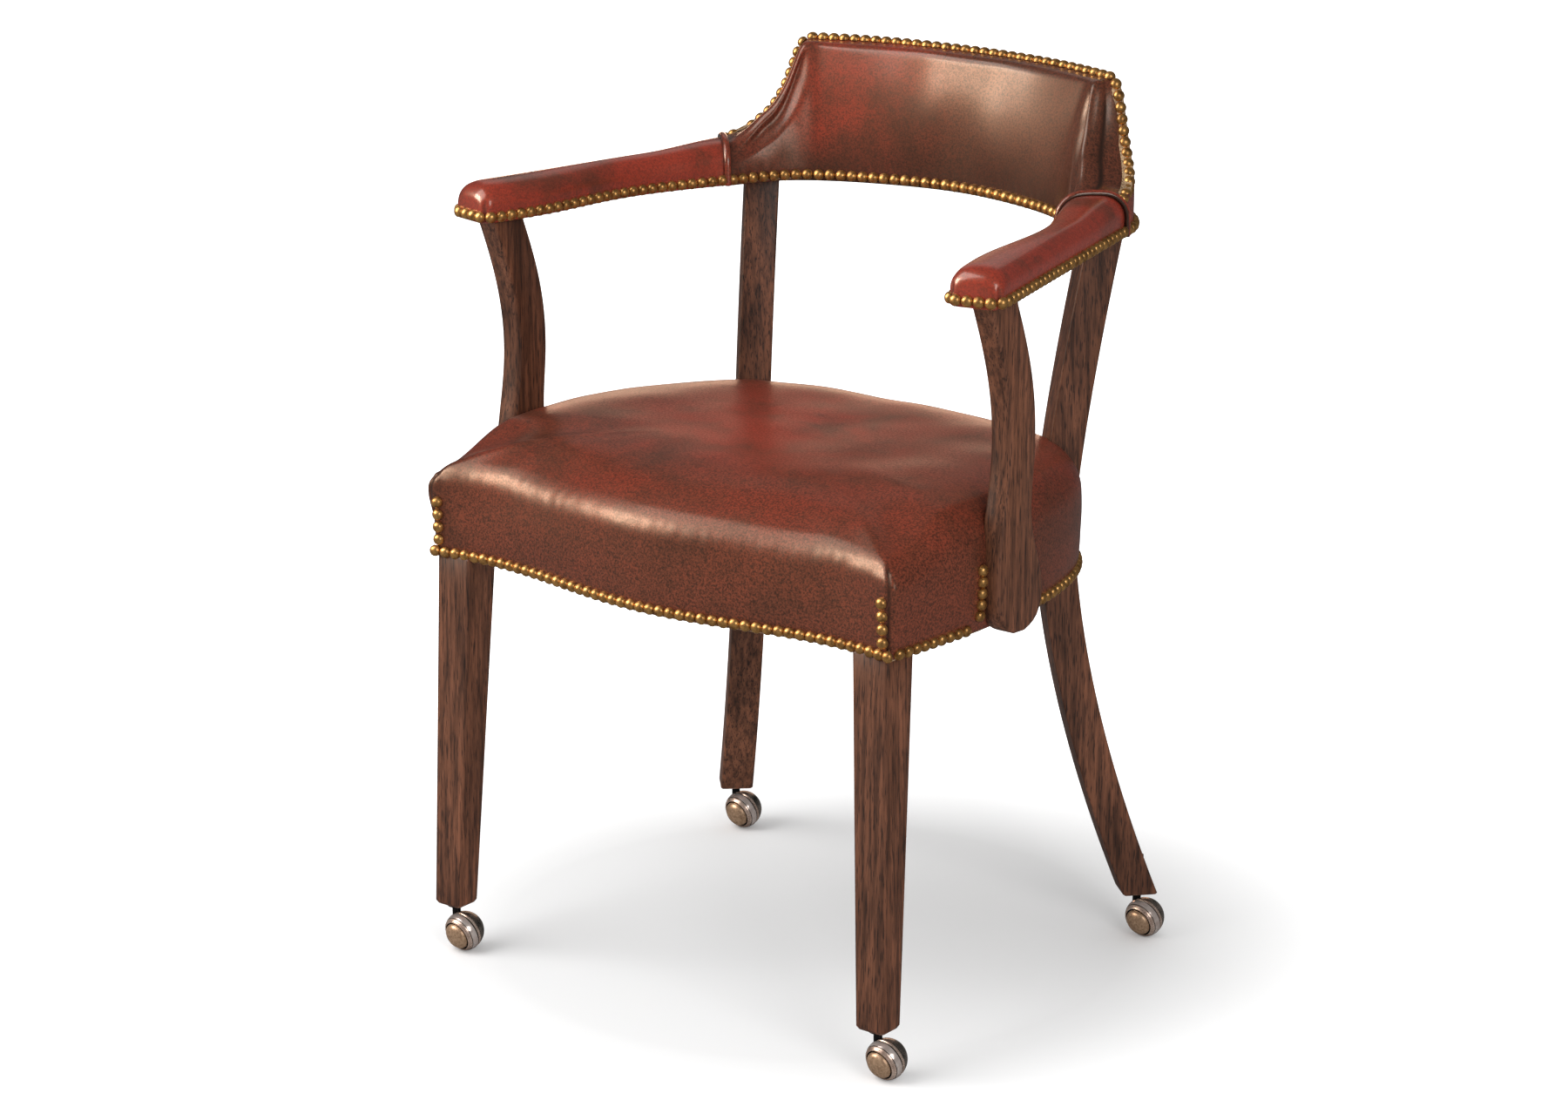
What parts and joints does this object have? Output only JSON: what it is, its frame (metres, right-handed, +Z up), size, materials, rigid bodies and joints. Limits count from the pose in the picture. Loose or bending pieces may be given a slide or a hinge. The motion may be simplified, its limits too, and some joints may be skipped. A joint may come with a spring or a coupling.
{
  "type": "captains chair",
  "caption": "Captains chair with a padded yoke back and arms, nail trimmed leather, tapered front legs, curved rear legs and ball casters.",
  "frame": {"origin": "on the floor under the middle of the chair's overall box", "axes": "+Z up, +X to the sitter's left, -Y the way the sitter faces"},
  "size_m": [0.6252, 0.5217, 0.8237],
  "materials": {
    "oxblood_leather": "semi-gloss, mottled",
    "mahogany": "satin dark stain",
    "beech": "bare",
    "antique_brass_nails": "antiqued",
    "antique_copper": "antiqued, polished on the tread",
    "blackened_steel": "blackened",
    "zinc_steel": "zinc plated",
    "foam": "matt",
    "webbing": "woven",
    "black_lining": "woven"
  },
  "bodies": {
    "frame": {"arm_core_left": "beech", "arm_core_right": "beech", "arm_cover_left": "oxblood_leather", "arm_cover_right": "oxblood_leather", "arm_dowels": "beech", "arm_foam_left": "foam", "arm_foam_right": "foam", "arm_nails_left": "antique_brass_nails", "arm_nails_right": "antique_brass_nails", "arm_support_left": "mahogany", "arm_support_right": "mahogany", "back_foam": "foam", "back_inside_leather": "oxblood_leather", "back_nails": "antique_brass_nails", "back_outside_leather": "oxblood_leather", "back_panel": "beech", "caster_socket_front_left": "blackened_steel", "caster_socket_front_right": "blackened_steel", "caster_socket_rear_left": "blackened_steel", "caster_socket_rear_right": "blackened_steel", "corner_blocks": "beech", "dust_cover": "black_lining", "frame_dowels": "beech", "front_leg_left": "mahogany", "front_leg_right": "mahogany", "front_rail": "beech", "rear_leg_left": "mahogany", "rear_leg_right": "mahogany", "rear_rail": "beech", "seat_cover": "oxblood_leather", "seat_deck": "webbing", "seat_foam": "foam", "seat_nails": "antique_brass_nails", "seat_webbing": "webbing", "side_rail_left": "beech", "side_rail_right": "beech", "support_screws": "zinc_steel", "yoke_back": "beech"},
    "caster_front_left": {"caster_axle_front_left": "blackened_steel", "caster_hood_front_left": "antique_copper", "caster_stem_front_left": "blackened_steel"},
    "wheel_front_left": {"caster_wheel_front_left": "antique_copper", "caster_cap_front_left": "antique_copper"},
    "caster_front_right": {"caster_axle_front_right": "blackened_steel", "caster_hood_front_right": "antique_copper", "caster_stem_front_right": "blackened_steel"},
    "wheel_front_right": {"caster_wheel_front_right": "antique_copper", "caster_cap_front_right": "antique_copper"},
    "caster_rear_left": {"caster_axle_rear_left": "blackened_steel", "caster_hood_rear_left": "antique_copper", "caster_stem_rear_left": "blackened_steel"},
    "wheel_rear_left": {"caster_wheel_rear_left": "antique_copper", "caster_cap_rear_left": "antique_copper"},
    "caster_rear_right": {"caster_axle_rear_right": "blackened_steel", "caster_hood_rear_right": "antique_copper", "caster_stem_rear_right": "blackened_steel"},
    "wheel_rear_right": {"caster_wheel_rear_right": "antique_copper", "caster_cap_rear_right": "antique_copper"}
  },
  "joints": [
    {"name": "swivel_front_left", "type": "hinge", "parent": "frame", "child": "caster_front_left", "pos_m": [-0.24915, -0.23371, 0.0542], "axis": [0, 0, 1], "continuous": true},
    {"name": "roll_front_left", "type": "hinge", "parent": "caster_front_left", "child": "wheel_front_left", "pos_m": [-0.23895, -0.23461, 0.0191], "axis": [-0.0845, -0.9575, -0.2756], "continuous": true},
    {"name": "swivel_front_right", "type": "hinge", "parent": "frame", "child": "caster_front_right", "pos_m": [0.24915, -0.23371, 0.0542], "axis": [0, 0, 1], "continuous": true},
    {"name": "roll_front_right", "type": "hinge", "parent": "caster_front_right", "child": "wheel_front_right", "pos_m": [0.25935, -0.23461, 0.0191], "axis": [-0.0845, -0.9575, -0.2756], "continuous": true},
    {"name": "swivel_rear_left", "type": "hinge", "parent": "frame", "child": "caster_rear_left", "pos_m": [-0.2448, 0.19124, 0.0542], "axis": [0, 0, 1], "continuous": true},
    {"name": "roll_rear_left", "type": "hinge", "parent": "caster_rear_left", "child": "wheel_rear_left", "pos_m": [-0.2346, 0.19034, 0.0191], "axis": [-0.0845, -0.9575, -0.2756], "continuous": true},
    {"name": "swivel_rear_right", "type": "hinge", "parent": "frame", "child": "caster_rear_right", "pos_m": [0.2448, 0.19124, 0.0542], "axis": [0, 0, 1], "continuous": true},
    {"name": "roll_rear_right", "type": "hinge", "parent": "caster_rear_right", "child": "wheel_rear_right", "pos_m": [0.255, 0.19034, 0.0191], "axis": [-0.0845, -0.9575, -0.2756], "continuous": true}
  ]
}
